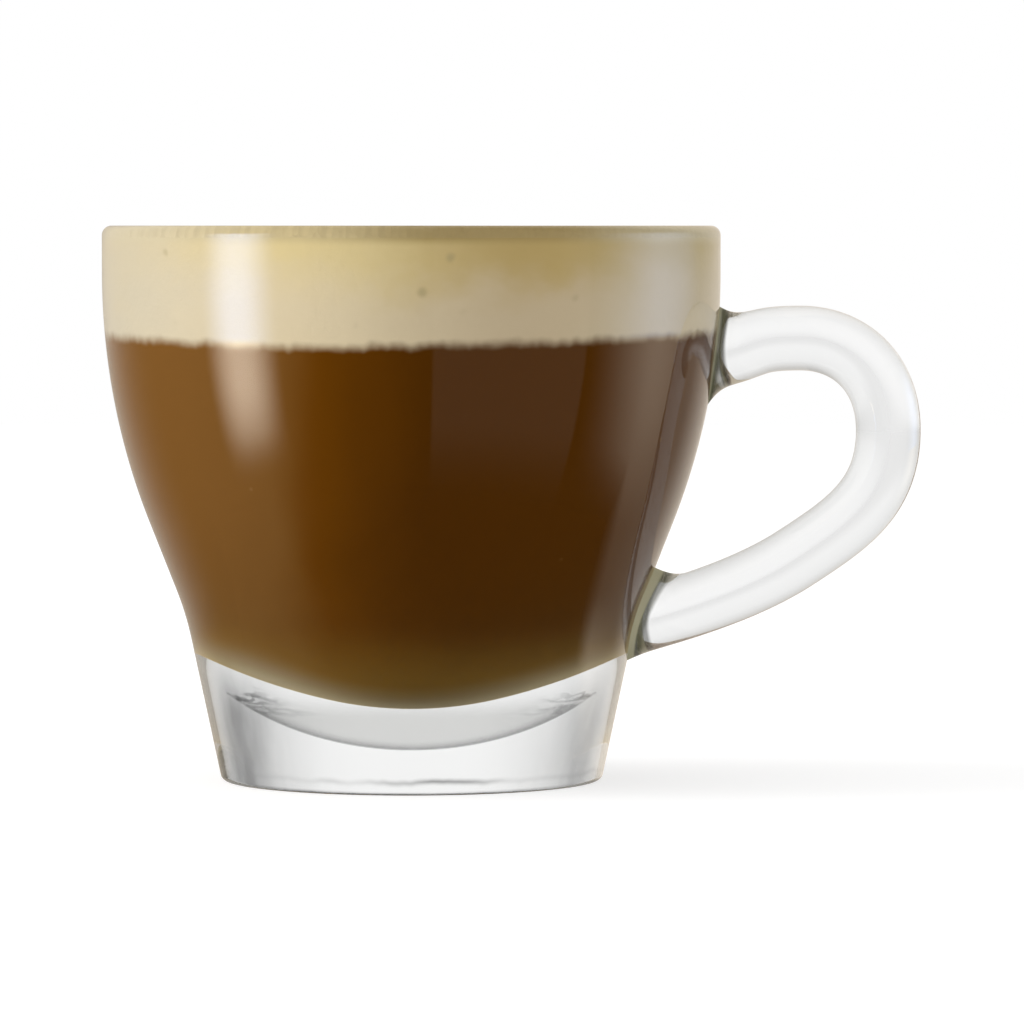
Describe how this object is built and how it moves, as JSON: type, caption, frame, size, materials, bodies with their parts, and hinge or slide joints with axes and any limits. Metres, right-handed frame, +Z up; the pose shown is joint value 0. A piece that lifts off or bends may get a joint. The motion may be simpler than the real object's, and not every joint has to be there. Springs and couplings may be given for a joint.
{
  "type": "glass cappuccino cup",
  "caption": "Clear glass cappuccino cup: flared bowl on a thick tapered foot, looped handle at one side, filled with coffee under milk foam and a thin crema.",
  "frame": {"origin": "centre of the foot's flat underside, on the axis of the cup", "axes": "+Z up along the axis of the cup, +X from the axis towards the handle"},
  "size_m": [0.1099, 0.083, 0.0745],
  "materials": {
    "bowl_glass": "clear, fire polished",
    "foot_glass": "clear, fire polished",
    "handle_glass": "clear, fire polished",
    "coffee": "dark brown liquid",
    "milk_foam": "cream foam",
    "crema": "tan froth"
  },
  "bodies": {
    "root": {"glass_bowl": "bowl_glass", "glass_foot": "foot_glass", "glass_handle": "handle_glass", "coffee": "coffee", "milk_foam": "milk_foam", "crema": "crema"}
  },
  "joints": []
}
